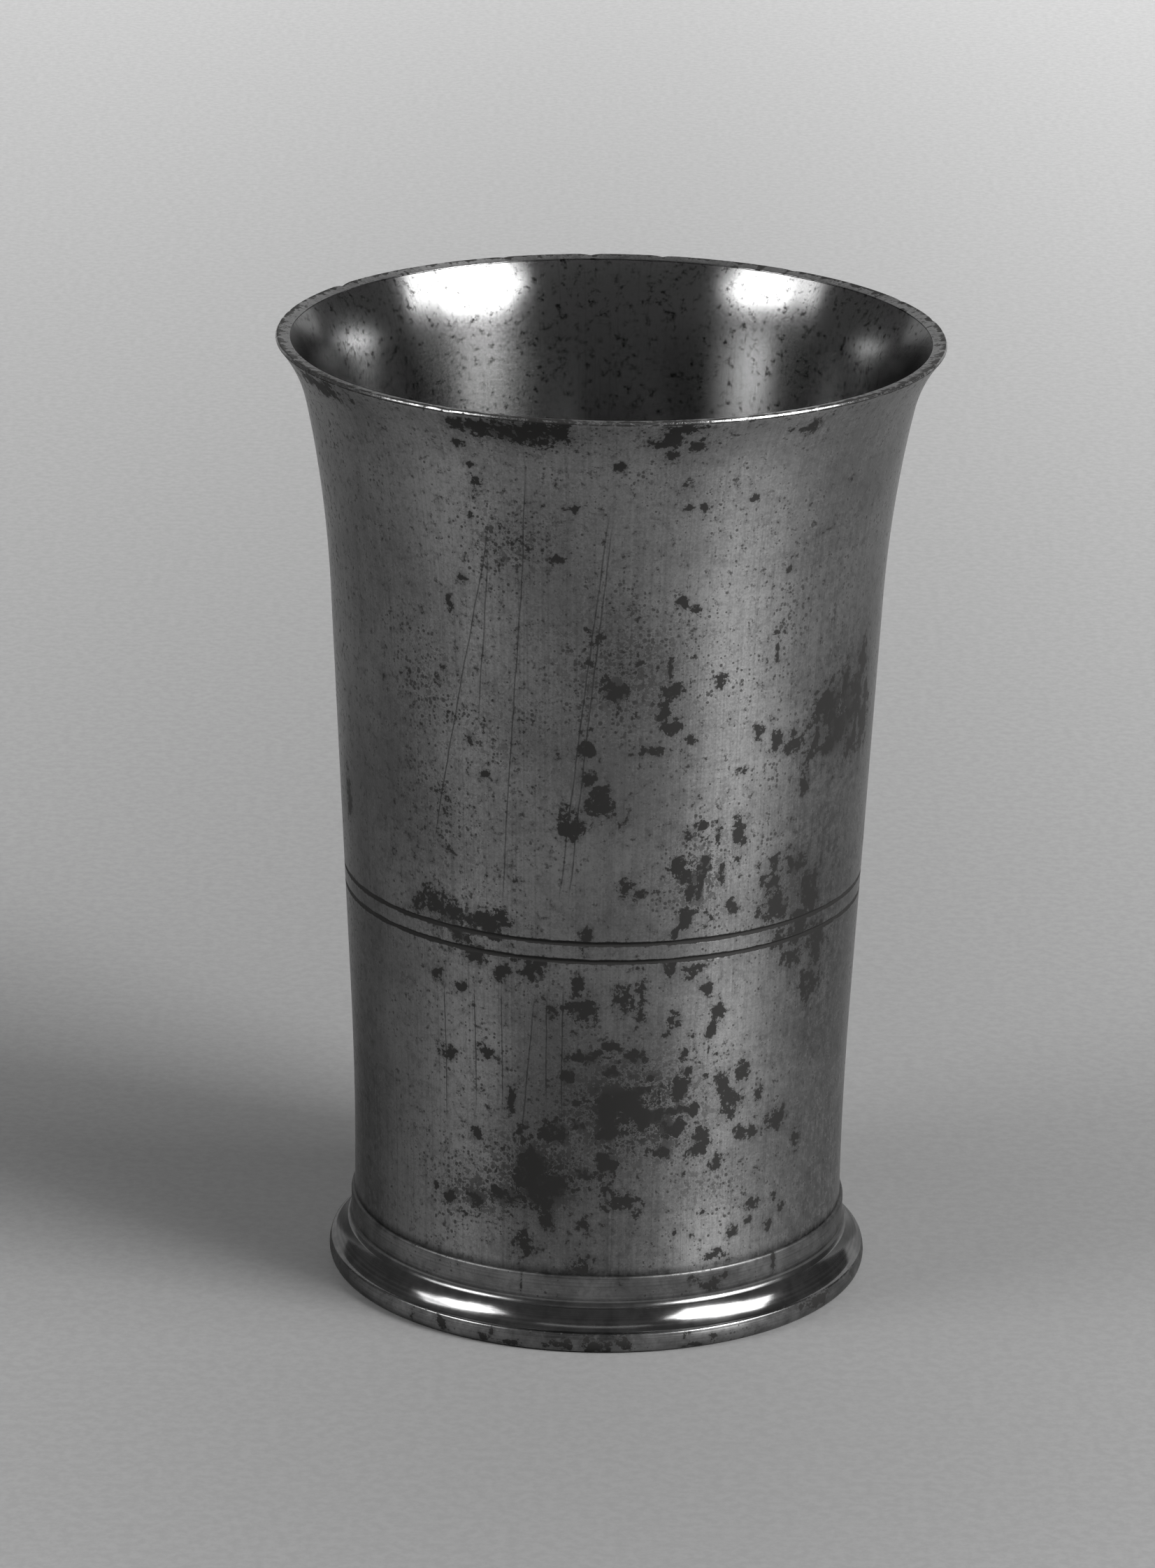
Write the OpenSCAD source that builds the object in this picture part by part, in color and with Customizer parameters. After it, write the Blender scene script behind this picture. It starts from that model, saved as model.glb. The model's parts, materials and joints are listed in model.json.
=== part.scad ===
// Flared pewter beaker: a turned body, the cast foot ring that it is soldered into, and its floor plate.
// Millimetres, +Z up. The origin is the centre of the ring that the beaker stands on.

/* [Body] */
// Height from the table to the top of the lip
overall_h = 130; // [115:1:150]
// Outer radius of the body where it meets the foot
body_foot_r = 33.2; // [28:0.1:38]
// Thickness of the body's wall, measured square to its surface
wall = 1.4; // [1.1:0.1:2.2]
// Height of the long curve that carries the side from upright at the foot to its straight taper
sweep_h = 29; // [20:0.5:36]
// Lean of the straight part of the side, in degrees from upright
side_lean = 2.95; // [2:0.05:4]
// Height of the gentle flare above the straight side
flare_h = 26.5; // [20:0.5:32]
// Lean at which the gentle flare turns into the lip, in degrees from upright
lip_lean = 12; // [8:0.5:16]
// Height of the lip's outward curl
lip_h = 8.5; // [6:0.25:11]
// Lean of the curl at the edge of the lip, in degrees from upright
rim_lean = 40; // [30:1:45]
// Rounding of the lip's two edges
rim_round = 0.2; // [0.1:0.05:0.35]

/* [Incised lines] */
// Height of the upper of the two lines turned into the body
upper_line_z = 57; // [48:0.5:70]
// Distance between the two lines, centre to centre
line_spacing = 2.5; // [1.5:0.1:5]
// Width of each line
line_w = 0.6; // [0.5:0.05:1]
// Depth of each line
line_depth = 0.25; // [0.1:0.05:0.25]

/* [Foot moulding] */
// Height of the bulged plinth at the bottom of the foot
plinth_h = 2.65; // [2.2:0.05:4]
// How far the plinth bulges past its own two edges
plinth_bulge = 0.25; // [0.1:0.05:0.5]
// Height of the hollow cove above the plinth
cove_h = 3.75; // [3.4:0.05:5]
// Radius of the cove
cove_r = 8; // [6:0.25:14]
// Height of the plain band between the cove and the body
band_h = 3.4; // [3:0.05:5]
// How far the band stands out from the body
band_step = 0.45; // [0.35:0.05:1.2]
// Rounding of the band's upper edge
band_round = 0.4; // [0.2:0.05:0.4]
// How far the plinth stands out from the band
foot_spread = 3.05; // [1.5:0.05:4]
// Width of the flat ring that the beaker stands on
rest_w = 5; // [3:0.1:6]

/* [Seats and solder] */
// Depth of the shoulder turned on the body to form its spigot
shoulder = 0.6; // [0.5:0.05:0.8]
// Length of the spigot inside the foot ring
spigot_l = 3.3; // [2:0.1:4]
// Clearance between the spigot and its socket, filled with solder
solder_gap = 0.2; // [0.1:0.05:0.3]
// Thickness of the floor plate
floor_t = 1.5; // [1.2:0.1:2]
// Width of the ledge in the foot ring that carries the floor plate
ledge_w = 3; // [2:0.1:4]
// Leg of the solder fillet round the inside of the floor
inside_fillet = 1.5; // [0.8:0.1:1.8]
// Leg of the solder fillet under the floor
under_fillet = 1.2; // [0.8:0.1:2]

/* [Hidden] */
$fn = 240;
pewter = [0.44, 0.44, 0.45];
foot_pewter = [0.52, 0.52, 0.53];
floor_pewter = [0.36, 0.36, 0.37];
solder = [0.62, 0.62, 0.64];

// Heights of the foot, from the table up
cove_z = plinth_h;
band_z = cove_z + cove_h;
seam_z = band_z + band_h;
floor_top = seam_z - spigot_l;
floor_z = floor_top - floor_t;

// Radii of the foot, from the body outwards and inwards
band_r = body_foot_r + band_step;
base_r = band_r + foot_spread;
plinth_edge_r = base_r - plinth_bulge;
spigot_r = body_foot_r - shoulder;
socket_r = spigot_r + solder_gap;
ledge_r = socket_r - ledge_w;
mouth_r = plinth_edge_r - rest_w;
inner_r = body_foot_r - wall;

// Curves of the side, whose radii follow from the height and the lean that each one gains
sweep_r = sweep_h / sin(side_lean);
flare_r = flare_h / (sin(lip_lean) - sin(side_lean));
lip_r = lip_h / (sin(rim_lean) - sin(lip_lean));
lip_inner_r = lip_r + wall;
flare_z = overall_h - lip_h - flare_h;

// Direction that faces out of the side where it leans by this angle
function outward(lean) = [cos(lean), -sin(lean)];

// Step along a curve of radius r while the side's lean goes from one angle to another
function curve_step(r, from, to) = r * (outward(from) - outward(to));

// Points where one stretch of the body's outside passes into the next, from the foot to the lip
sweep_start = [body_foot_r, seam_z];
sweep_end = sweep_start + curve_step(sweep_r, 0, side_lean);
flare_start = [sweep_end.x + (flare_z - sweep_end.y) * tan(side_lean), flare_z];
lip_start = flare_start + curve_step(flare_r, side_lean, lip_lean);
lip_centre = lip_start + lip_r * outward(lip_lean);

// The same points on the inside, one wall thickness in
inner_sweep_start = sweep_start - wall * outward(0);
inner_sweep_end = sweep_end - wall * outward(side_lean);
inner_flare_start = flare_start - wall * outward(side_lean);
inner_lip_start = lip_start - wall * outward(lip_lean);

// Lean at which a rounding of the lip's edge leaves a curl, given the distance between their centres
function rounding_lean(centres) = asin((overall_h - rim_round - lip_centre.y) / centres);
outer_end_lean = rounding_lean(lip_r + rim_round);
inner_end_lean = rounding_lean(lip_inner_r - rim_round);
outer_curl_end = lip_centre - lip_r * outward(outer_end_lean);
inner_curl_end = lip_centre - lip_inner_r * outward(inner_end_lean);
top_outer = [outer_curl_end.x - rim_round * cos(outer_end_lean), overall_h];
top_inner = [inner_curl_end.x + rim_round * cos(inner_end_lean), overall_h];

// Outer radius of the body at a height on its long curve or its straight side
function side_r(z) =
    z < sweep_end.y
    ? sweep_start.x + sweep_r - sqrt(sweep_r ^ 2 - (z - sweep_start.y) ^ 2)
    : sweep_end.x + (z - sweep_end.y) * tan(side_lean);

// Radius of an arc that rises by this much over a chord
function arc_radius(chord, rise) = (chord ^ 2 / 4 + rise ^ 2) / (2 * rise);

// Steps in each curve, and the two ways a curve can bend when a section is walked anticlockwise
arc_steps = 10;
bulged = 1;
hollow = -1;

// Points along an arc of radius r from p to q, without p itself
function arc(p, q, r, bend) =
    let (
        chord = norm(q - p),
        half = asin(chord / 2 / r),
        across = [p.y - q.y, q.x - p.x] / chord,
        centre = (p + q) / 2 + bend * r * cos(half) * across,
        start = atan2(p.y - centre.y, p.x - centre.x)
    )
    [
        for (i = [1 : arc_steps])
            let (angle = start + bend * 2 * half * i / arc_steps)
                centre + r * [cos(angle), sin(angle)]
    ];

// Rounded tool that cuts one line into the side at a height
module line_cut(z) {
    tool_r = arc_radius(line_w, line_depth);
    translate([side_r(z) + tool_r - line_depth, z])
        circle(tool_r);
}

// Half section of the body: spigot and shoulder, outside up to the lip, then the inside down again
module body_section() {
    difference() {
        polygon(concat(
            [[inner_r, floor_top], [spigot_r, floor_top], [spigot_r, seam_z], sweep_start],
            arc(sweep_start, sweep_end, sweep_r, hollow),
            [flare_start],
            arc(flare_start, lip_start, flare_r, hollow),
            arc(lip_start, outer_curl_end, lip_r, hollow),
            arc(outer_curl_end, top_outer, rim_round, bulged),
            [top_inner],
            arc(top_inner, inner_curl_end, rim_round, bulged),
            arc(inner_curl_end, inner_lip_start, lip_inner_r, bulged),
            arc(inner_lip_start, inner_flare_start, flare_r + wall, bulged),
            [inner_sweep_end],
            arc(inner_sweep_end, inner_sweep_start, sweep_r + wall, bulged)
        ));
        line_cut(upper_line_z);
        line_cut(upper_line_z - line_spacing);
    }
}

// Half section of the foot ring: plinth, cove and band outside, then socket, ledge and recess inside
module foot_section() {
    plinth_bottom = [plinth_edge_r, 0];
    plinth_top = [plinth_edge_r, plinth_h];
    cove_top = [band_r, band_z];
    band_edge = [band_r, seam_z - band_round];
    band_top = [band_r - band_round, seam_z];
    polygon(concat(
        [[mouth_r, 0], plinth_bottom],
        arc(plinth_bottom, plinth_top, arc_radius(plinth_h, plinth_bulge), bulged),
        arc(plinth_top, cove_top, cove_r, hollow),
        [band_edge],
        arc(band_edge, band_top, band_round, bulged),
        [[socket_r, seam_z], [socket_r, floor_z], [ledge_r, floor_z]]
    ));
}

// Half section of a solder fillet in the corner between two seats, with the hollow face that solder sets to
module fillet_section(corner, leg_1, leg_2) {
    face_r = norm(leg_1) + norm(leg_2);
    polygon(concat([corner, corner + leg_1], arc(corner + leg_1, corner + leg_2, face_r, hollow)));
}

module body() {
    color(pewter)
        rotate_extrude()
            body_section();
}

module foot_ring() {
    color(foot_pewter)
        rotate_extrude()
            foot_section();
}

// Plain disc that lies on the foot's ledge, under the end of the spigot
module floor_plate() {
    color(floor_pewter)
        translate([0, 0, floor_z])
            cylinder(h = floor_t, r = spigot_r);
}

// Film that fills the socket round the spigot and the edge of the floor plate
module seam_solder() {
    color(solder)
        rotate_extrude()
            translate([spigot_r, floor_z])
                square([solder_gap, seam_z - floor_z]);
}

// Fillet in the corner of the inside, where the floor meets the wall
module inside_solder() {
    color(solder)
        rotate_extrude()
            fillet_section([inner_r, floor_top], [0, inside_fillet], [-inside_fillet, 0]);
}

// Fillet under the floor, against the drafted wall of the foot's recess
module under_solder() {
    recess_wall = [mouth_r - ledge_r, -floor_z];
    color(solder)
        rotate_extrude()
            fillet_section(
                [ledge_r, floor_z],
                [-under_fillet, 0],
                under_fillet * recess_wall / norm(recess_wall)
            );
}

body();
foot_ring();
floor_plate();
seam_solder();
inside_solder();
under_solder();
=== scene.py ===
# %% [markdown]
# # A flared pewter beaker
# The photograph shows a tall beaker of old pewter that stands on a moulded foot, with two fine lines turned
# round its side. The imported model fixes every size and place, so this lesson only dresses it: each node gets
# a finely divided surface in its place, and each surface gets the finish of worn and spotted pewter.

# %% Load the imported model
import json
import math

import bpy
import bmesh
import numpy as np
from mathutils import Matrix, Vector

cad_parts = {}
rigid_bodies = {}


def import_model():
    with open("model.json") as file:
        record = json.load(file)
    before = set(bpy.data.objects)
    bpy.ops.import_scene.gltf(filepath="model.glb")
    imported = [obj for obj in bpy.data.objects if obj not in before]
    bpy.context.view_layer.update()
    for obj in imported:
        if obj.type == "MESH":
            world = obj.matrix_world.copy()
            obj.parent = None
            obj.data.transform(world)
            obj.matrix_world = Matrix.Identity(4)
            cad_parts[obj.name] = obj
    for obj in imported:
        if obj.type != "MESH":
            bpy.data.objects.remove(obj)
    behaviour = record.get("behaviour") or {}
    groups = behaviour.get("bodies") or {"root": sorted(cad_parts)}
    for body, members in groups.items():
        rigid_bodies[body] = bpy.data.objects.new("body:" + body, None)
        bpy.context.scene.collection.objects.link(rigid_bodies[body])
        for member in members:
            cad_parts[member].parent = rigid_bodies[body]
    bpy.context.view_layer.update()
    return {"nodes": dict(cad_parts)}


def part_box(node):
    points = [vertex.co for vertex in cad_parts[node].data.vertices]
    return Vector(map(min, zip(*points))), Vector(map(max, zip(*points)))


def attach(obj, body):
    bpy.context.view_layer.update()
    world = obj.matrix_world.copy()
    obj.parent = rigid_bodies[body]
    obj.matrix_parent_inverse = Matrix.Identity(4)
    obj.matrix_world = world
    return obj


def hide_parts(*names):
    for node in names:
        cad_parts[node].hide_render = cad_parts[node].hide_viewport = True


for leftover in list(bpy.data.objects):
    bpy.data.objects.remove(leftover)
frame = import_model()

# %% [markdown]
# ## The camera
# The picture was taken from a little above the rim with a long lens, which keeps the sides of the beaker
# nearly parallel. A camera can be pushed about until the outlines agree, but the ellipses of the rim, the
# lines and the foot give its height and tilt at once. A focal length in pixels becomes Blender's lens in
# millimetres when it is set against the height of the picture.

# %% Place the camera
PICTURE_HEIGHT_PX = 2243
FOCAL_PX = 9900
SENSOR_MM = 36.0
CAMERA_PLACE = (0.0, -0.8843, 0.3592)
CAMERA_PAN, CAMERA_DIP, CAMERA_ROLL = 0.23, 18.256, 0.888
scene = bpy.context.scene
scene.view_settings.view_transform = "Standard"
camera_data = bpy.data.cameras.new("picture_camera")
camera_data.sensor_width = SENSOR_MM
camera_data.lens = FOCAL_PX / PICTURE_HEIGHT_PX * SENSOR_MM
camera = bpy.data.objects.new("picture_camera", camera_data)
camera.matrix_world = (
    Matrix.Translation(CAMERA_PLACE)
    @ Matrix.Rotation(math.radians(CAMERA_PAN), 4, "Z")
    @ Matrix.Rotation(math.radians(90 - CAMERA_DIP), 4, "X")
    @ Matrix.Rotation(math.radians(CAMERA_ROLL), 4, "Z")
)
scene.collection.objects.link(camera)
scene.camera = camera
print("lens:", round(camera_data.lens, 1), "mm")

# %% [markdown]
# ## Shader sums as Python
# A finish is a tree of nodes, and sums written with nodes are hard to read. A small class wraps one output of
# a node, so that an expression such as 1 - mask adds the Math node that works it out. Every other kind of
# node comes from one method, which takes the settings first and then the sockets.


# %% Wrap a shader socket
class Value:
    """One output of a shader node. Arithmetic on Values adds the Math nodes that work it out."""

    def __init__(self, tree, socket):
        self.tree = tree
        self.socket = socket

    def node(self, kind, settings, sockets, output=0):
        """Adds a node: its settings first, then the values or links of its sockets, by name or number."""
        made = self.tree.nodes.new(kind)
        for name, setting in settings.items():
            setattr(made, name, setting)
        for key, given in sockets.items():
            if isinstance(given, Value):
                self.tree.links.new(given.socket, made.inputs[key])
            else:
                made.inputs[key].default_value = given
        return Value(self.tree, made.outputs[output])

    def math(self, operation, first, second=0.0):
        return self.node("ShaderNodeMath", {"operation": operation}, {0: first, 1: second})

    def __add__(self, other):
        return self.math("ADD", self, other)

    def __sub__(self, other):
        return self.math("SUBTRACT", self, other)

    def __rsub__(self, other):
        return self.math("SUBTRACT", other, self)

    def __mul__(self, other):
        return self.math("MULTIPLY", self, other)

    def __pow__(self, other):
        return self.math("POWER", self, other)

    def __rpow__(self, other):
        return self.math("POWER", other, self)

    def __abs__(self):
        return self.math("ABSOLUTE", self)

    def larger(self, other):
        return self.math("MAXIMUM", self, other)

    def smaller(self, other):
        return self.math("MINIMUM", self, other)

    __radd__ = __add__
    __rmul__ = __mul__


# %% Helpers that finishes share
MM = 0.001


def start_finish(name):
    """A new material: its Principled shader, and the place on the object in millimetres."""
    material = bpy.data.materials.new(name)
    material.use_nodes = True
    tree = material.node_tree
    shader = tree.nodes["Principled BSDF"]
    place = Value(tree, tree.nodes.new("ShaderNodeTexCoord").outputs["Object"])
    place = place.node("ShaderNodeVectorMath", {"operation": "SCALE"}, {0: place, "Scale": 1 / MM})
    return material, shader, place


def feed(shader, **sockets):
    """Sets the shader's sockets: a Value is linked, and anything else is set on the socket itself."""
    for name, given in sockets.items():
        socket = shader.inputs[name.replace("_", " ")]
        if isinstance(given, Value):
            given.tree.links.new(given.socket, socket)
        else:
            socket.default_value = given


def part_of(place, axis):
    """One coordinate of a place, named by its axis."""
    return place.node("ShaderNodeSeparateXYZ", {}, {0: place}, output=axis)


def rise(value, low, high):
    """0 below low, 1 above high, and a smooth rise between them."""
    smooth = {"interpolation_type": "SMOOTHSTEP"}
    return value.node("ShaderNodeMapRange", smooth, {0: value, 1: low, 2: high})


def noise(place, size, detail=2.0, roughness=0.5):
    """Soft noise about 0.5, whose patches are about size millimetres across."""
    sockets = {"Vector": place, "Scale": 1 / size, "Detail": detail, "Roughness": roughness}
    return place.node("ShaderNodeTexNoise", {}, sockets)


def noise_along(distance, scale, detail):
    """Noise about 0.5 along one measure, in bands that are 1 / scale millimetres wide."""
    sockets = {"W": distance, "Scale": scale, "Detail": detail}
    return distance.node("ShaderNodeTexNoise", {"noise_dimensions": "1D"}, sockets)


def blend(factor, first, second):
    """Colour that goes from first to second as the factor goes from 0 to 1."""
    sockets = {0: factor, 6: first, 7: second}
    return factor.node("ShaderNodeMix", {"data_type": "RGBA"}, sockets, output=2)


def grey(level, warmth=0.0):
    """Colour of one level, with more red and less blue where warmth is above 0."""
    return (level * (1 + warmth), level, level * (1 - warmth), 1.0)


# %% [markdown]
# ## The studio
# The beaker stands on pale paper whose colour carries painted light: it is darkest round the foot and grows
# lighter away from it. A strong wide lamp with a bright core stands on the right and a weaker one on the left,
# both a little in front, and each throws a soft shadow to the other side. A thin strip of light hangs
# overhead, a grey card stands behind, out of the picture, and the rest of the room is dark. Even light from
# all round would be simpler, but polished metal shows whatever stands about it, so the studio is most of the
# look.


# %% Paper, card and room
def flat_stage(name, corners, material):
    """Flat sheet of the studio, which isn't part of the beaker."""
    mesh = bpy.data.meshes.new(name)
    mesh.from_pydata(corners, [], [(0, 1, 2, 3)])
    mesh.materials.append(material)
    sheet = bpy.data.objects.new(name, mesh)
    scene.collection.objects.link(sheet)


PAPER_NEAR, PAPER_FAR, PAPER_GRAIN = 0.26, 0.84, 0.05
# Where the paper's painted light has grown lighter, in millimetres from the beaker's axis
LIGHTER_BEHIND = 1000.0
LIGHTER_FRONT, DARKER_FRONT = -280, -60
LIGHTER_ASIDE = 160
FRONT_SHARE, ASIDE_SHARE = 0.2, 0.13
MATT = 0.9
PAPER_HALF = 3.0
CARD_HALF, CARD_AWAY, CARD_HEIGHT = 1.1, 1.35, 1.3
CARD_GREY, ROOM_GREY = 0.5, 0.105
paper, paper_shader, on_paper = start_finish("pale_paper")
# Painted light: the paper's colour grows lighter to the back, to the front and to both sides, in place of
# uneven lamp light
depth = part_of(on_paper, "Y")
sideways = part_of(on_paper, "X")
slanted = depth + sideways * 0.25
behind = slanted.node("ShaderNodeMapRange", {}, {0: slanted, 1: 0.0, 2: LIGHTER_BEHIND}) ** 1.4
in_front = 1 - rise(depth, LIGHTER_FRONT, DARKER_FRONT)
aside = rise(abs(sideways), 0, LIGHTER_ASIDE)
painted_light_on_paper = behind + in_front * FRONT_SHARE + aside * ASIDE_SHARE
paper_with_painted_light = blend(painted_light_on_paper, grey(PAPER_NEAR), grey(PAPER_FAR))
tooth = rise(noise(on_paper, 1.5, 4.0, 0.7), 0.35, 0.65) * 0.12
feed(paper_shader, Base_Color=blend(tooth, paper_with_painted_light, grey(PAPER_GRAIN)), Roughness=MATT)
paper_corners = [
    (-PAPER_HALF, -PAPER_HALF, 0),
    (PAPER_HALF, -PAPER_HALF, 0),
    (PAPER_HALF, PAPER_HALF, 0),
    (-PAPER_HALF, PAPER_HALF, 0),
]
flat_stage("paper", paper_corners, paper)
card, card_shader, _ = start_finish("grey_card")
feed(card_shader, Base_Color=grey(CARD_GREY), Roughness=MATT)
card_corners = [
    (-CARD_HALF, CARD_AWAY, 0),
    (CARD_HALF, CARD_AWAY, 0),
    (CARD_HALF, CARD_AWAY, CARD_HEIGHT),
    (-CARD_HALF, CARD_AWAY, CARD_HEIGHT),
]
flat_stage("screen", card_corners, card)
room = bpy.data.worlds.new("dark_room")
room.use_nodes = True
room.node_tree.nodes["Background"].inputs["Color"].default_value = grey(ROOM_GREY)
scene.world = room
print("nodes in the paper's finish:", len(paper.node_tree.nodes))


# %% Lamps
LAMPS_FACE = Vector((0.0, 0.0, 0.06))


def soft_lamp(name, azimuth, elevation, distance, width, height, watts):
    """Lamp that faces the beaker: azimuth is from the front towards the right, elevation from the floor."""
    turn, lift = math.radians(azimuth), math.radians(elevation)
    flat = math.cos(lift)
    away = Vector((math.sin(turn) * flat, -math.cos(turn) * flat, math.sin(lift)))
    lamp_data = bpy.data.lights.new(name, "AREA")
    lamp_data.shape = "RECTANGLE"
    lamp_data.size = width
    lamp_data.size_y = height
    lamp_data.energy = watts
    lamp = bpy.data.objects.new(name, lamp_data)
    lamp.location = LAMPS_FACE + away * distance
    lamp.rotation_euler = away.to_track_quat("Z", "Y").to_euler()
    scene.collection.objects.link(lamp)


soft_lamp("right_lamp", azimuth=65, elevation=36, distance=2.6, width=2.0, height=1.0, watts=45)
soft_lamp("right_core", azimuth=60, elevation=36, distance=2.5, width=0.9, height=0.9, watts=45)
soft_lamp("left_lamp", azimuth=-70, elevation=37, distance=2.6, width=1.7, height=0.7, watts=15)
soft_lamp("left_core", azimuth=-66, elevation=37, distance=2.5, width=0.8, height=0.6, watts=14)
soft_lamp("overhead_strip", azimuth=0, elevation=62, distance=2.2, width=1.4, height=0.08, watts=0.3)

# %% [markdown]
# ## Turned surfaces
# Every piece of a beaker comes off a lathe, so every piece is an outline carried round the axis. Blender's
# Screw modifier could do that, but the real surface isn't quite round: the lines are ragged and the lip is
# nicked. Here the outline is a grid of radii and heights, with a column for each angle, so both can vary
# round the piece.

# %% Carry an outline round the axis
AROUND = 360
SHARP_ANGLE = 35
MERGE_WITHIN = 1e-7
angle = np.linspace(-180.0, 180.0, AROUND, endpoint=False)


def turned_piece(name, radius, height, node, closed=True):
    """Surface with x = r sin(angle), y = -r cos(angle), z = height, from rows of radii and heights in mm.

    The angle is 0 at the front and grows to the right. A closed outline joins its last row to its first one,
    and an open one starts and ends on the axis, where its points are merged.
    """
    rows = len(radius)
    radius = np.broadcast_to(radius.reshape(rows, -1), (rows, AROUND))
    height = np.broadcast_to(height.reshape(rows, -1), (rows, AROUND))
    turn = np.radians(angle)
    points = np.stack([radius * np.sin(turn), -radius * np.cos(turn), height], axis=-1) * MM
    row = np.arange(rows if closed else rows - 1)[:, None]
    column = np.arange(AROUND)[None, :]
    upper, beside = (row + 1) % rows, (column + 1) % AROUND
    low, high = row * AROUND, upper * AROUND
    faces = np.stack([low + column, low + beside, high + beside, high + column], axis=-1).reshape(-1, 4)
    mesh = bpy.data.meshes.new(name)
    mesh.from_pydata(points.reshape(-1, 3).tolist(), [], faces.tolist())
    first_column = np.broadcast_to(column, (len(row), AROUND)).reshape(-1, 1)
    first_row = np.broadcast_to(row, (len(row), AROUND)).reshape(-1, 1)
    across = first_column / AROUND + np.array([0.0, 1.0, 1.0, 0.0]) / AROUND
    along = (first_row + np.array([0.0, 0.0, 1.0, 1.0])) / rows
    wrap = np.stack([across, along], axis=-1)
    mesh.uv_layers.new(name="wrap").data.foreach_set("uv", wrap.ravel())
    if not closed:
        weld = bmesh.new()
        weld.from_mesh(mesh)
        bmesh.ops.remove_doubles(weld, verts=weld.verts, dist=MERGE_WITHIN)
        weld.to_mesh(mesh)
        weld.free()
    mesh.polygons.foreach_set("use_smooth", np.ones(len(mesh.polygons), dtype=bool))
    mesh.set_sharp_from_angle(angle=math.radians(SHARP_ANGLE))
    piece = bpy.data.objects.new(name, mesh)
    scene.collection.objects.link(piece)
    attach(piece, "root")
    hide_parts(node)
    return piece


print("columns round a piece:", AROUND)

# %% [markdown]
# ## The outline of the body
# The side starts upright at the foot, leans out a little, runs straight for nearly half the height, and then
# flares into the curled lip. It could be drawn point by point, but arcs that meet smoothly do it better, and
# along an arc the sine of the lean grows evenly with the height. So the whole side is one broken line for
# that sine, and the radius is the running sum of the lean's tangent.

# %% Radius of the side at any height
SEAM_Z, RIM_Z = 9.8, 130.0
FOOT_R = 33.2
WALL = 1.4
STRETCH_Z = [SEAM_Z, 38.8, 95.0, 121.5, RIM_Z]
STRETCH_LEAN = [0.0, 2.95, 2.95, 12.0, 40.0]
FINE_STEPS = 4000
fine_z = np.linspace(SEAM_Z, RIM_Z, FINE_STEPS)
fine_sine = np.interp(fine_z, STRETCH_Z, np.sin(np.radians(STRETCH_LEAN)))
fine_slope = fine_sine / np.sqrt(1 - fine_sine**2)
fine_gain = np.diff(fine_z) * (fine_slope[1:] + fine_slope[:-1]) / 2
fine_r = FOOT_R + np.concatenate([[0.0], np.cumsum(fine_gain)])


def side_radius(z):
    """Outer radius at a height: the foot's radius plus the running sum of the tangent of the lean."""
    return np.interp(z, fine_z, fine_r)


def inner_side(z):
    """Points one wall thickness in from the side at a height, along the normal, as radius and height."""
    sine = np.interp(z, fine_z, fine_sine)
    return side_radius(z) - WALL * np.sqrt(1 - sine**2), z + WALL * sine


print("radius at the lip:", round(float(side_radius(RIM_Z)), 2), "mm")

# %% [markdown]
# ## The body
# Two lines were cut round the side with a narrow tool while the body turned, and use has left their edges
# uneven. The top of the lip is worn flat and tilts a little inwards, with a rubbed facet on its outer edge
# and small nicks across it. A bump in the finish wouldn't show in the outline, so they are modelled: the
# lines are cut out of the radius, and the nicks out of the height of the lip's rows.

# %% Outside of the body, with its two lines
LINE_Z = [57.0, 54.5]
LINE_W, SOILED_W, LINE_DEPTH = 0.6, 0.8, 0.25
LIP_OUTER_Z, LIP_SWELL, SWELL_Z = 129.45, 0.14, 121
EVEN_ROWS, LINE_ROWS, LINE_REACH = 194, 13, 0.6
WAVE_DEPTH, SETTLE_H = 0.03, 12
even_z = np.linspace(SEAM_Z, LIP_OUTER_Z, EVEN_ROWS)
line_z = np.concatenate([z + np.linspace(-LINE_REACH, LINE_REACH, LINE_ROWS) for z in LINE_Z])
outside_z = np.unique(np.round(np.concatenate([even_z, line_z]), 3))[:, None]
turn = np.radians(angle)[None, :]
ragged = 1 + 0.12 * np.sin(17 * turn + 1) * np.sin(5 * turn) + 0.08 * np.sin(43 * turn)


def hollow_lines(width):
    """1 in the middle of each line and 0 from its ragged edge on, along a parabola."""
    reach = width / 2 * ragged
    return sum(np.clip(1 - (np.abs(outside_z - z) / reach) ** 2, 0, None) for z in LINE_Z)


cuts = hollow_lines(LINE_W)
soiled = hollow_lines(SOILED_W)
settle = np.clip((outside_z - SEAM_Z) / SETTLE_H, 0, 1) * np.clip((LIP_OUTER_Z - outside_z) / SETTLE_H, 0, 1)
wave = (
    np.sin(2 * turn + outside_z / 31)
    + 0.6 * np.sin(3 * turn - outside_z / 17 + 2)
    + 0.3 * np.sin(7 * turn + 1)
)
swell = LIP_SWELL * np.clip((outside_z - SWELL_Z) / (LIP_OUTER_Z - SWELL_Z), 0, 1) ** 2
outside_r = side_radius(outside_z) + swell - LINE_DEPTH * cuts - WAVE_DEPTH * settle * (wave + 2)
print("outside rows:", len(outside_z))

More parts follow.
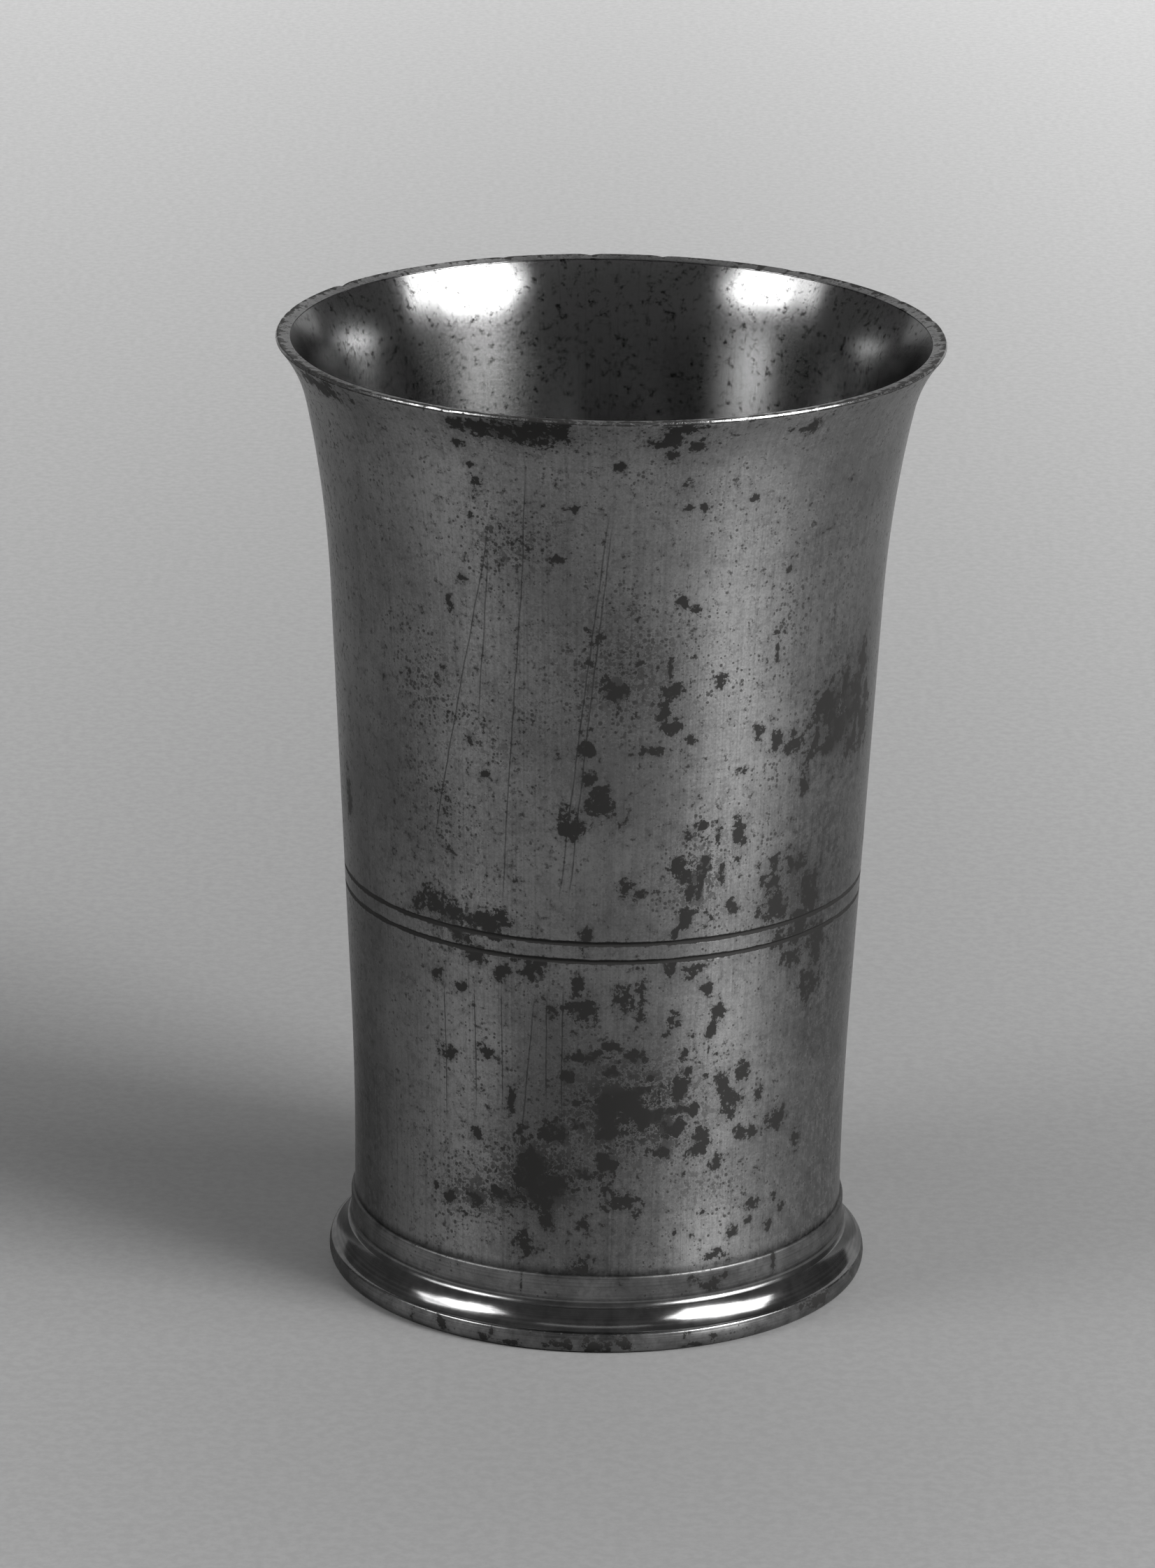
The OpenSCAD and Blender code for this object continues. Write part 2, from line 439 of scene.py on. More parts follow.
# %% Lip of the body, with its nicks
# Each nick has its angle and its half width in degrees, and its depth in millimetres
NICKS = [
    (-124, 1.0, 0.30), (-103, 0.7, 0.12), (-99, 0.5, 0.15), (-95, 0.7, 0.18), (-91, 0.6, 0.15),
    (-86, 1.4, 0.14), (-78, 2.0, 0.10), (-28, 0.9, 0.12), (-2, 0.6, 0.15), (62, 0.8, 0.10),
    (71, 1.0, 0.16), (84, 0.7, 0.14), (89, 0.6, 0.12), (93, 0.5, 0.12), (96, 0.6, 0.12),
    (104, 1.1, 0.14), (118, 0.8, 0.10), (171, 0.8, 0.2), (-176, 1.0, 0.2), (-160, 0.8, 0.12),
    (146, 0.9, 0.12),
]
LIP_INNER_Z = 129.5
NICK_FADE = 0.4
inside_start_z = np.interp(LIP_INNER_Z, inner_side(fine_z)[1], fine_z)


def bend(start, corner, end, steps):
    """Points of a smooth bend from start to end, which leaves and arrives along lines through the corner."""
    t = np.linspace(0, 1, steps)[:, None]
    return (1 - t) ** 2 * np.array(start) + 2 * t * (1 - t) * np.array(corner) + t**2 * np.array(end)


def angle_from(middle):
    """Degrees round the beaker from an angle, between -180 and 180, for each column."""
    return (angle - middle + 180) % 360 - 180


# Each point of the lip is a radius and a height, from its outer side over the top to its inner side
outer_start = (float(side_radius(LIP_OUTER_Z)) + LIP_SWELL, LIP_OUTER_Z)
inner_end = tuple(float(part) for part in inner_side(inside_start_z))
outer_bend = bend(outer_start, (44.24, 129.595), (44.19, 129.68), 5)[1:]
facet = bend((44.18, 129.71), (44.15, 129.77), (44.10, 129.84), 3)
upper_bend = bend((44.085, 129.865), (44.01, 129.98), (43.82, 129.975), 5)
worn_flat = bend((43.7, 129.95), (43.1, 129.85), (42.5, 129.72), 4)
inner_bend = bend((42.42, 129.7), (42.25, 129.66), inner_end, 5)[:-1]
lip = np.concatenate([outer_bend, facet, upper_bend, worn_flat, inner_bend])
rubbed_rows = slice(len(outer_bend) - 1, len(outer_bend) + len(facet) + 1)
# Runs from -1 at the lip's inner edge to 1 at its outer edge
lip_across = 2 * (lip[:, :1] - lip[:, 0].min()) / np.ptp(lip[:, 0]) - 1
nicked = sum(deep * np.exp(-((angle_from(middle) / wide) ** 2)) for middle, wide, deep in NICKS)[None, :]
outer_share = np.clip(lip_across + 0.7, 0, 1)
above_side = np.clip((lip[:, 1:] - LIP_OUTER_Z) / NICK_FADE, 0, 1)
lip_z = lip[:, 1:] - nicked * outer_share * above_side
lip_r = np.broadcast_to(lip[:, :1], lip_z.shape)
print("widest at the lip:", round(float(lip_r.max()), 3), "mm")

# %% Inside, spigot and the whole body
FLOOR_TOP, INNER_R, SPIGOT_R = 6.5, 31.8, 32.6
FLARE_END_Z, FLARE_ROWS = 92, 24
STRAIGHT_START_Z, STRAIGHT_ROWS = 88, 8
flare_rows = np.linspace(inside_start_z, FLARE_END_Z, FLARE_ROWS)
straight_rows = np.linspace(STRAIGHT_START_Z, SEAM_Z, STRAIGHT_ROWS)
inside_r, inside_z = inner_side(np.concatenate([flare_rows, straight_rows])[:, None])
spigot_r = np.array([[INNER_R], [SPIGOT_R], [SPIGOT_R]])
spigot_z = np.array([[FLOOR_TOP], [FLOOR_TOP], [SEAM_Z]])


def all_round(rows):
    """Rows of one value or of one value for each angle, spread over all the angles."""
    return np.broadcast_to(rows, (len(rows), AROUND))


body_r = np.concatenate([all_round(part) for part in (spigot_r, outside_r, lip_r, inside_r)])
body_z = np.concatenate([all_round(part) for part in (spigot_z, outside_z, lip_z, inside_z)])
body = turned_piece("body_shell", body_r, body_z, "body")
print("body faces:", len(body.data.polygons))

# %% [markdown]
# ## Where the body is stained
# Old pewter spots: dark patches of corrosion stand out sharply from the grey metal, crowded in some places
# and sparse in others. Painting a picture of them would need an image, so each patch of the front that stands
# out is placed as an ellipse on the side, by its angle, height and two half sizes. The mesh carries
# the distance to the nearest one, and the finish turns that distance into a ragged edge. The back can't be
# seen, so its patches fall by chance.

# %% Patches placed one by one
STAINS_HIGH = [
    (11, 128, 1.0, 1.7), (13, 128.8, 1.7, 0.5), (9, 126.5, 1.5, 0.5), (15, 126, 0.9, 0.6),
    (-26, 127.8, 1.3, 0.7), (-22.5, 127.9, 1.5, 0.9), (-18.5, 127.9, 1.6, 1.2), (-15.5, 128, 1.8, 1.5),
    (-12.5, 128.1, 1.8, 1.6), (-9.5, 128.3, 1.7, 1.4), (-28, 125, 0.6, 0.5), (-26, 122, 0.5, 0.3),
    (-25, 120, 0.7, 0.5), (-27, 115, 0.4, 0.4), (-6, 117, 0.5, 0.4), (-30, 106, 0.5, 0.6),
    (-33, 102, 0.4, 0.8), (-10, 110, 0.9, 0.4), (11, 125, 0.7, 0.8), (2, 123, 0.5, 0.5),
    (15, 117, 0.4, 0.4), (18, 117, 0.35, 0.4), (15, 104, 0.6, 0.6), (18, 103, 0.5, 0.4),
    (24, 93, 0.5, 0.7), (37, 96, 0.25, 1.0), (38, 107, 0.3, 0.4), (13, 95, 0.4, 1.5), (2, 92, 1.2, 1.3),
    (14, 92, 1.0, 0.8), (37, 127, 1.5, 0.6), (28, 118, 0.4, 0.4), (-60, 128, 4.0, 1.0),
]
STAINS_MIDDLE = [
    (-4, 84, 0.8, 0.9), (-3, 80, 0.8, 0.8), (-1, 78, 1.0, 0.8), (-1, 76, 1.5, 1.0), (-8, 75, 1.0, 1.0),
    (-7, 73, 1.2, 1.2), (-29, 84, 0.5, 0.7), (-26, 79, 0.8, 0.4), (-19, 65, 0.5, 0.3), (-73, 69, 1.0, 1.9),
    (12, 89, 0.7, 1.0), (14, 87, 0.9, 0.8), (18, 85, 0.6, 0.5), (10, 84, 1.4, 0.6), (33, 85, 0.7, 0.7),
    (38, 83, 0.6, 1.0), (43, 82, 1.3, 1.2), (53, 86, 2.2, 2.2), (50, 82, 0.9, 1.3), (70, 81, 1.6, 3.0),
    (30, 80, 0.8, 0.4), (47, 76, 0.6, 1.4), (21, 73, 0.6, 0.7), (18, 72, 0.7, 1.0), (25, 72, 0.5, 1.0),
    (30, 71, 0.8, 1.8), (22, 68, 0.7, 0.9), (16, 68, 0.7, 0.9), (26, 66, 0.5, 1.1), (18, 66, 1.0, 0.7),
    (21, 66, 0.8, 0.8), (19, 64, 0.6, 1.4), (21, 63, 0.5, 1.1), (18, 60, 0.8, 1.4), (5, 65, 1.0, 0.8),
    (60, 88, 0.8, 2.5), (63, 84, 1.2, 3.0), (66, 86, 1.0, 4.0), (58, 82, 1.5, 1.5), (64, 79, 1.2, 1.5),
    (68, 90, 0.8, 2.5), (71, 84, 0.8, 4.0), (55, 80, 1.5, 0.8), (49, 80, 1.2, 0.7), (52, 59, 1.0, 2.5),
    (8, 64, 0.6, 0.5), (29, 61, 0.6, 1.0), (40, 66, 0.5, 1.3), (39, 63, 1.1, 1.2), (40, 60, 1.7, 1.4),
    (46, 65, 1.2, 1.1), (50, 61, 1.2, 1.7), (48, 56, 1.4, 2.0), (16, 58, 0.5, 0.5), (4, 74, 0.5, 0.5),
]
STAINS_AT_LINES = [
    (-39, 60, 1.7, 1.4), (-44, 59, 0.7, 1.1), (-35, 59, 1.7, 1.1), (-27, 59, 2.0, 0.9), (-22, 59, 1.1, 0.9),
    (-24, 58, 0.9, 1.0), (-32, 56, 1.1, 0.8), (-28, 54, 1.1, 1.0), (-3, 58, 0.6, 0.9), (-15, 54, 1.9, 0.5),
]
STAINS_LOW = [
    (55, 52, 1.2, 2.5), (47, 52, 1.2, 1.2), (42, 55, 0.8, 1.0), (-38, 50, 0.7, 1.0), (-32, 49, 0.8, 0.7),
    (-22, 52, 0.7, 0.8), (-15, 53, 1.1, 1.2), (-4, 48, 1.2, 1.4), (-5, 51, 0.6, 1.3), (-26, 40, 1.0, 0.8),
    (-36, 39, 0.9, 0.6), (-2, 41, 1.3, 0.7), (-7, 38, 0.7, 0.7), (-20, 34, 0.5, 1.2), (-29, 28, 0.7, 0.6),
    (-10, 30, 1.4, 1.2), (-15, 25, 1.5, 1.9), (-10, 22, 1.4, 1.4), (-21, 20, 1.5, 1.1), (2, 33, 1.0, 1.9),
    (15, 53, 0.6, 1.0), (20, 53, 0.8, 0.8), (9, 49, 0.5, 2.3), (6, 49, 1.0, 1.3), (4, 50, 0.7, 0.7),
    (16.5, 46, 0.7, 0.9), (24, 50, 0.6, 0.9), (26.5, 46, 0.7, 1.5), (25, 44, 0.6, 1.0), (19, 41, 0.5, 0.7),
    (2.5, 39, 0.8, 0.7), (18.5, 36, 0.8, 1.1), (34, 37, 0.8, 1.5), (29, 36, 0.7, 1.2), (31, 33, 1.0, 1.6),
    (34.5, 33, 0.6, 0.6), (39, 33.5, 0.5, 0.8), (5, 35, 1.1, 1.0), (7.5, 33.7, 1.0, 1.2),
    (10.5, 32.3, 1.0, 0.9), (9, 36, 0.8, 0.6), (1.4, 35, 0.8, 1.1), (1.5, 30, 1.1, 0.8),
    (2.4, 42.6, 0.8, 0.6), (7.7, 41, 1.2, 0.9), (2, 25.4, 1.2, 1.4), (15, 27.3, 0.9, 1.0),
    (28, 24.5, 0.7, 0.7), (17.8, 33, 1.3, 0.4), (15, 44.3, 0.5, 0.5), (20, 38.5, 0.5, 0.5),
    (12, 38.5, 0.7, 0.4), (22, 33, 0.5, 0.7), (15.5, 30.5, 0.7, 1.5), (18, 30.5, 0.8, 0.7),
    (23.7, 28.5, 1.0, 1.4), (23, 27, 1.0, 0.7), (34, 28.4, 0.5, 0.8), (38, 28, 0.8, 0.7), (45, 29, 1.3, 1.0),
    (52, 25, 0.7, 1.5), (38, 18, 0.9, 0.7), (6, 20, 1.8, 1.0), (54, 47, 1.8, 1.9), (13, 32, 1.0, 0.7),
    (18, 15.4, 0.4, 0.4), (22, 14.8, 0.3, 0.5), (33, 14.4, 0.7, 0.6), (29, 11.3, 1.3, 0.7),
    (44, 13.6, 0.5, 0.8), (45, 17.6, 0.5, 0.6), (39, 17.8, 0.8, 0.6), (37, 15.6, 0.6, 0.4),
    (48, 15.8, 0.5, 0.7), (25, 18, 0.3, 0.4), (-40, 19.3, 0.4, 0.4), (-36, 18.4, 0.9, 0.8),
    (-29, 19, 1.0, 1.1), (-12, 21.3, 2.2, 1.6), (-11, 17.7, 0.7, 1.6), (-17, 13.5, 1.2, 1.0),
    (-3.5, 11, 1.2, 0.9),
]
STAINS_SMALL = [
    (3.5, 42.8, 0.4, 0.3), (7.5, 38.3, 0.4, 0.4), (11.5, 37.7, 0.5, 0.3), (9.4, 40.7, 0.35, 0.3),
    (14, 33, 0.6, 0.4), (16.5, 32.8, 0.5, 0.4), (20.3, 38.7, 0.3, 0.3), (24.6, 37.4, 0.4, 0.3),
    (25.2, 41.3, 0.3, 0.3), (15, 44.2, 0.4, 0.3), (-3.7, 31, 0.5, 0.4), (4, 30.5, 0.5, 0.4),
    (-3, 24.3, 0.8, 0.7), (0.5, 26.8, 0.5, 0.6), (2.2, 22.3, 0.7, 0.8), (7.2, 24.3, 0.4, 0.3),
    (16.7, 22.9, 0.3, 0.3), (-3.4, 17, 0.7, 0.6), (-12, 17, 0.6, 0.6), (-15, 27.2, 0.5, 0.5),
    (-18, 22.5, 0.5, 0.5), (-1, 36.3, 0.5, 0.4), (21.3, 36.7, 0.3, 0.3), (-5.8, 44.2, 0.4, 0.4),
    (-10.5, 47, 0.6, 0.8),
]
placed = [STAINS_HIGH, STAINS_MIDDLE, STAINS_AT_LINES, STAINS_LOW, STAINS_SMALL]
print("patches placed by hand:", sum(len(group) for group in placed))

# %% Patches on the unseen back
BACK_FROM, BACK_TO = 85, 275
BACK_LOW, BACK_HIGH = 14, 126
BACK_STAINS = 110
SIZE_SHAPE = 3
chance = np.random.default_rng(7)
unseen = np.stack([
    chance.uniform(BACK_FROM, BACK_TO, BACK_STAINS),
    chance.uniform(BACK_LOW, BACK_HIGH, BACK_STAINS),
    chance.gamma(SIZE_SHAPE, 0.28, BACK_STAINS),
    chance.gamma(SIZE_SHAPE, 0.34, BACK_STAINS),
], axis=-1)
stains = np.concatenate([*placed, unseen])
print("patches in all:", len(stains))

# %% Crowded areas, and dull areas that are partly painted shade
# Each area has an angle, a height, two half sizes in millimetres and a strength
CROWDED = [
    (-16, 127.5, 8, 2.2, 0.7), (6, 33, 14, 12, 1.05), (-12, 24, 11, 9, 1.0), (-6, 46, 8, 7, 0.6),
    (20, 66, 7, 9, 0.8), (46, 62, 8, 9, 0.8), (58, 84, 7, 9, 1.0), (-18, 112, 8, 6, 0.65),
    (-38, 90, 8, 11, 0.55), (-37, 73, 8, 12, 0.5), (4, 95, 12, 12, 0.8), (-20, 86, 16, 8, 0.5),
    (-33, 57, 8, 4, 0.7), (-28, 20, 9, 6, 0.8), (26, 22, 10, 6, 0.6), (12, 121, 6, 6, 0.4),
    (56, 50, 6, 8, 0.7), (42, 102, 8, 13, 0.5), (-4, 16, 16, 5, 0.5), (130, 90, 16, 14, 0.7),
    (170, 45, 18, 14, 0.8), (-150, 70, 14, 16, 0.6), (-110, 35, 12, 12, 0.6),
]
# Dull areas darken the metal: partly tarnish, and partly painted shade that dims reflections on the left and
# at the right edge
DULL_AND_PAINTED_SHADE = [
    (-40, 60, 14, 80, 0.3), (67, 72, 14, 46, 0.4), (-75, 45, 12, 70, 0.5), (-16, 30, 12, 20, 0.2),
    (180, 60, 40, 50, 0.3),
]


def side_distance(ellipse, radius, height):
    """Distance over the side from an ellipse's middle, in units of its half sizes, for each vertex."""
    sideways = np.radians(angle_from(ellipse[0])[None, :]) * radius
    return np.hypot(sideways / ellipse[2], (height - ellipse[1]) / ellipse[3])


def nearest_stain(ellipses, radius, height):
    """Distance from the nearest ellipse's edge, in its half sizes: -1 in its middle and 0 on its edge."""
    return np.min([side_distance(ellipse, radius, height) - 1 for ellipse in ellipses], axis=0)


def strongest_area(areas, radius, height):
    """Strength of the strongest area at each vertex, which fades from its middle along a bell curve."""
    return np.max([area[4] * np.exp(-side_distance(area, radius, height) ** 2) for area in areas], axis=0)


print("crowded areas:", len(CROWDED), "dull areas:", len(DULL_AND_PAINTED_SHADE))

# %% What the body's vertices carry
FAR_FROM_STAINS = 9.0
UNDER_RUB = 0.12


def vertex_value(piece, name, values):
    """Stores one number for each vertex, which the finish reads by name."""
    values = np.ascontiguousarray(values, dtype=np.float32)
    piece.data.attributes.new(name, "FLOAT", "POINT").data.foreach_set("value", values.ravel())


first_lip = len(spigot_r) + len(outside_r)
first_inside = len(body_r) - len(inside_r)
# The innermost eighth of the lip fades into the inside
inside = np.zeros_like(body_r)
inside[first_lip:first_inside] = np.clip(-lip_across * 4 - 3, 0, 1)
inside[first_inside:] = 1
in_line = np.zeros_like(body_r)
in_line[len(spigot_r):first_lip] = soiled
# Dark nicks gather towards the lip's outer edge, and the rubbed facet has few
lip_edge = np.zeros_like(body_r)
lip_edge[first_lip:first_inside] = np.clip(lip_across * 1.5 + 0.6, 0.2, 1.8)
lip_edge[first_lip:first_inside][rubbed_rows] = UNDER_RUB
rubbed = np.zeros_like(body_r)
rubbed[first_lip:first_inside][rubbed_rows] = 1
from_stain = nearest_stain(stains, body_r, body_z)
crowd = strongest_area(CROWDED, body_r, body_z)
dull_and_painted_shade = strongest_area(DULL_AND_PAINTED_SHADE, body_r, body_z)
within = inside > 0.5
vertex_value(body, "inside", inside)
vertex_value(body, "in_line", in_line)
vertex_value(body, "lip_edge", lip_edge)
vertex_value(body, "rubbed", rubbed)
vertex_value(body, "from_stain", np.where(within, FAR_FROM_STAINS, from_stain))
vertex_value(body, "crowd", np.where(within, 0.0, crowd))
vertex_value(body, "dull_and_painted_shade", np.where(within, 0.0, dull_and_painted_shade))
print("share of the side in patches:", round(float((from_stain[inside < 0.5] < 0).mean()), 3))

# %% [markdown]
# ## The finish of the body
# The lathe and years of rubbing leave marks that run round the beaker, so highlights smear up and down: that
# is an anisotropic shine, turned a quarter. A plain rough metal would spread them evenly in all directions.
# Over the bare metal lie a soft cloudiness, fine turning marks, upright scratches and hairlines, small dark
# specks, and the ragged patches with a dull tarnish round them. Corrosion is no longer metal, so it is
# darker, duller and less metallic than the pewter.


# %% Corrosion, for any piece that carries its distance from the patches
SPECK_CELL = 0.55


def carried(place, name):
    """Number that the mesh carries at each vertex."""
    return place.node("ShaderNodeAttribute", {"attribute_name": name}, {}, output="Fac")


def specks(place, crowd):
    """Small round dots: one in each cell of a random pattern, with a random radius that is often below 0."""
    cells = {"Vector": place, "Scale": 1 / SPECK_CELL}
    from_middle = place.node("ShaderNodeTexVoronoi", {}, cells, output="Distance")
    drawn = place.node("ShaderNodeTexVoronoi", {}, cells, output="Color")
    lot = place.node("ShaderNodeSeparateColor", {}, {0: drawn}, output="Red")
    radius = lot * 0.8 - 0.46 + crowd * 0.4
    patchy = (noise(place, 8.0, 4.0, 0.6) - 0.5) * 1.6
    return rise(radius + patchy - from_middle, 0.0, 0.18) * 0.85


def corroded(place):
    """How far the metal is eaten away, by ragged patches, mottling and specks, and the tarnish round them."""
    crowd = carried(place, "crowd")
    grain = noise(place, 0.9, 6.0, 0.7)
    lumps = noise(place, 2.2, 4.0, 0.6)
    nearness = (carried(place, "from_stain") - 0.2).smaller(1.5 - crowd * 1.1)
    ragged_edge = nearness + (lumps - 0.5) * 4.5 + (grain - 0.5) * 6.0
    patches = 1 - rise(ragged_edge, -0.1, 0.3)
    tarnish = 1 - rise(ragged_edge, 0.0, 1.8)
    mottle = rise(grain * 0.7 + lumps * 0.3 + crowd * 0.085, 0.57, 0.60) * (0.25 + crowd * 0.75)
    return patches.larger(mottle).larger(specks(place, crowd)), tarnish


# %% Marks that run over the side
# Each scratch has the angle and height of its upper end, and then of its lower end
SCRATCHES = [
    (-22, 117, -39, 67), (-23.5, 112, -27, 85), (-15, 124, -22, 60), (0.7, 119, -9.5, 61),
    (1.2, 117, -7.4, 61), (-36.8, 51, -36.6, 27), (-28.7, 52, -28.6, 30), (-22, 52, -22, 30),
    (-14, 51, -18, 26), (-11.6, 52, -11.8, 32), (-8, 53, -8.4, 30),
]
SCRATCH_FADE = 6
body_pewter, body_shader, on_body = start_finish("body_pewter")
body_wrap = on_body.node("ShaderNodeUVMap", {"uv_map": "wrap"}, {})
body_angle = part_of(body_wrap, "X") * 360 - 180
body_height = part_of(on_body, "Z")


def streaks(across, along, detail=3.0):
    """Noise stretched over the body: across is its size round it in degrees, along its height in mm."""
    sizes = {0: body_angle * (1 / across), 1: body_height * (1 / along)}
    stretched = on_body.node("ShaderNodeCombineXYZ", {}, sizes)
    sockets = {"Vector": stretched, "Scale": 1.0, "Detail": detail}
    return on_body.node("ShaderNodeTexNoise", {"noise_dimensions": "2D"}, sockets)


wobble = (streaks(40, 9) - 0.5) * 0.8


def scratch(top_angle, top_z, low_angle, low_z):
    """Thin line down the body from one point to another, with soft ends."""
    slope = (top_angle - low_angle) / (top_z - low_z)
    sideways = abs(body_angle - (body_height - low_z) * slope - low_angle + wobble)
    lower_end = rise(body_height, low_z, low_z + SCRATCH_FADE)
    upper_end = 1 - rise(body_height, top_z - SCRATCH_FADE, top_z)
    return (1 - rise(sideways, 0.08, 0.22)) * (lower_end * upper_end)


marks = rise(streaks(0.5, 40, detail=0.0), 0.65, 0.74) * 0.22
for ends in SCRATCHES:
    marks = marks.larger(scratch(*ends))
cloud = noise(on_body, 16.0, 4.0, 0.55)
fine = noise(on_body, 0.3, 2.0, 0.6)
turning = streaks(60, 0.35)
brushed = streaks(0.6, 30)
print("scratches:", len(SCRATCHES), "nodes so far:", len(body_pewter.node_tree.nodes))

# %% Put the body's finish together
BARE_DARK, BARE_LIGHT, BARE_INSIDE, BARE_RUBBED = 0.215, 0.325, 0.27, 0.4
TARNISHED = grey(0.07)
CORRODED = grey(0.03, 0.02)
CORRODED_METAL_LOSS = 0.85
SPARED_INSIDE = 0.86
SEAM_SHADE_H = 1.4
inner = carried(on_body, "inside")
outer = 1 - inner
rub = carried(on_body, "rubbed")
edge = carried(on_body, "lip_edge")
# What hides the bare metal: dark nicks in the lip, dirt in the lines, and the spots
teeth = streaks(2.0, 60) * 0.3 + noise(on_body, 1.6, 5.0, 0.7) * 0.7
nicks = rise(teeth + edge * 0.09, 0.55, 0.62) * rise(edge, 0.05, 0.2)
dirt = rise(carried(on_body, "in_line") + (noise(on_body, 1.0, 4.0, 0.7) - 0.5) * 1.6, 0.02, 0.35)
eaten, tarnish = corroded(on_body)
corrosion = (eaten * (1 - inner * SPARED_INSIDE)).larger(dirt).larger(nicks)
# Bare metal, and what dims it: dull areas that are partly painted shade, scratches,
# the painted shade over the seam, and tarnish
# Painted shade: the side is darkened for a short way above the seam, next to the band
painted_shade_over_seam = (1 - rise(body_height, SEAM_Z, SEAM_Z + SEAM_SHADE_H)) * outer
texture = rise(cloud * 0.45 + brushed * 0.16 + turning * 0.07 + fine * 0.32, 0.4, 0.6)
bare = blend(texture, grey(BARE_DARK), grey(BARE_LIGHT))
bare = blend(inner, bare, grey(BARE_INSIDE))
bare = blend(rub * 0.8, bare, grey(BARE_RUBBED))
# Painted shade darkens part of the dull areas
darkening = carried(on_body, "dull_and_painted_shade") + marks * 0.6 + painted_shade_over_seam * 0.7 + tarnish * outer * 0.35
colour = blend(corrosion, blend(darkening, bare, TARNISHED), CORRODED)
# How metallic, how rough and how uneven it is
metal = 1 - corrosion * outer * CORRODED_METAL_LOSS
shine = 0.36 - inner * 0.14 - rub * 0.16 + (turning - 0.5) * 0.02 + corrosion * outer * 0.25
shine = shine + (fine + cloud - 1.0) * inner * 0.12
relief = (turning * 0.06 - corrosion * 0.5 - marks * 0.6) * outer + (turning + fine) * inner * 0.03
dents = {"Strength": 0.25, "Distance": 0.04 * MM, "Height": relief}
bump = on_body.node("ShaderNodeBump", {}, dents, output="Normal")
feed(body_shader, Base_Color=colour, Metallic=metal, Roughness=shine, Normal=bump)
feed(body_shader, Anisotropic=0.85, Anisotropic_Rotation=0.25)
feed(body_shader, Specular_IOR_Level=0.1, Specular_Tint=grey(0.75))
body.data.materials.append(body_pewter)
print("nodes in the body's finish:", len(body_pewter.node_tree.nodes))

# %% [markdown]
# ## The foot ring
# The foot was cast with the body's seat in it and turned to a moulding: a bulged plinth with a softened upper
# edge, a wide hollow, a narrow hollow above it with a sharp arris between them, and a plain band under the
# seam. A Bevel modifier could soften a plain ring, but it gives every edge the same rounding. Each curve here
# is an arc that stands off the straight line between its two ends, so one small function makes them all.

# %% Outline of the foot ring
MOUTH_R, BAND_R, SOCKET_R, LEDGE_R = 31.45, 33.65, 32.8, 29.8
FLOOR_Z = 5.0


def sunk_arc(start, end, sink, steps):
    """Points along a shallow arc: the chord, plus sink times 4t(1 - t) to the right of its direction."""
    t = np.linspace(0, 1, steps)[:, None]
    chord = np.subtract(end, start)
    aside = np.array([chord[1], -chord[0]]) / np.hypot(*chord)
    return start + t * chord + 4 * sink * t * (1 - t) * aside


rounded_under = sunk_arc((35.85, 0.0), (36.45, 0.5), 0.1, 6)
plinth = sunk_arc((36.48, 0.55), (36.5, 2.25), 0.15, 10)
softened = sunk_arc((36.47, 2.32), (36.08, 2.78), 0.12, 7)
wide_hollow = sunk_arc((36.02, 2.8), (34.15, 5.4), -0.22, 14)
narrow_hollow = sunk_arc((34.08, 5.44), (33.6, 6.36), -0.12, 8)
band = np.array([(BAND_R, 6.44), (BAND_R, 7.5), (BAND_R, 8.6), (BAND_R, 9.4)])
band_edge = sunk_arc((33.64, 9.45), (33.3, SEAM_Z), 0.1, 6)
seat = np.array([(SOCKET_R, SEAM_Z), (SOCKET_R, FLOOR_Z), (LEDGE_R, FLOOR_Z), (MOUTH_R, 0.0)])
moulding = [rounded_under, plinth, softened, wide_hollow, narrow_hollow, band, band_edge, seat]
foot_outline = np.concatenate(moulding)
foot = turned_piece("foot_moulding", foot_outline[:, 0], foot_outline[:, 1], "foot_ring")
print("foot faces:", len(foot.data.polygons), "widest:", round(float(foot_outline[:, 0].max()), 3), "mm")

# %% Patches on the foot ring
STAINS_FOOT = [
    (23, 8.9, 0.5, 0.4), (31, 8.4, 0.4, 0.5), (27, 7.7, 1.0, 0.6), (45, 8.2, 0.4, 0.8),
    (-17.3, 8.4, 0.15, 1.6), (26, 1.3, 0.5, 0.6), (19.5, 2.1, 0.4, 0.4), (21, 0.6, 0.9, 0.3),
    (0, 1.0, 1.5, 0.9), (6, 1.5, 0.8, 0.6), (54, 2.1, 1.0, 0.6), (57, 2.1, 0.8, 0.7),
    (49, 2.2, 0.5, 0.3), (72, 2.4, 0.4, 0.6), (-24, 0.8, 0.6, 0.4), (-22, 1.8, 0.4, 0.4),
    (-18, 0.8, 1.4, 0.4), (-34, 1.7, 0.8, 0.7), (-42, 1.0, 0.3, 0.5), (-7, 1.2, 1.5, 0.5),
]
FOOT_BACK_STAINS = 40
FOOT_BACK_Z = [1.3, 1.8, 7.6, 8.4]
foot_unseen = np.stack([
    chance.uniform(BACK_FROM, BACK_TO, FOOT_BACK_STAINS),
    chance.choice(FOOT_BACK_Z, FOOT_BACK_STAINS),
    chance.gamma(SIZE_SHAPE, 0.2, FOOT_BACK_STAINS),
    chance.gamma(SIZE_SHAPE, 0.15, FOOT_BACK_STAINS),
], axis=-1)
foot_r = all_round(foot_outline[:, :1])
foot_z = all_round(foot_outline[:, 1:])
foot_stains = np.concatenate([STAINS_FOOT, foot_unseen])
vertex_value(foot, "from_stain", nearest_stain(foot_stains, foot_r, foot_z))
vertex_value(foot, "crowd", np.zeros_like(foot_r))
print("patches on the foot:", len(foot_stains))

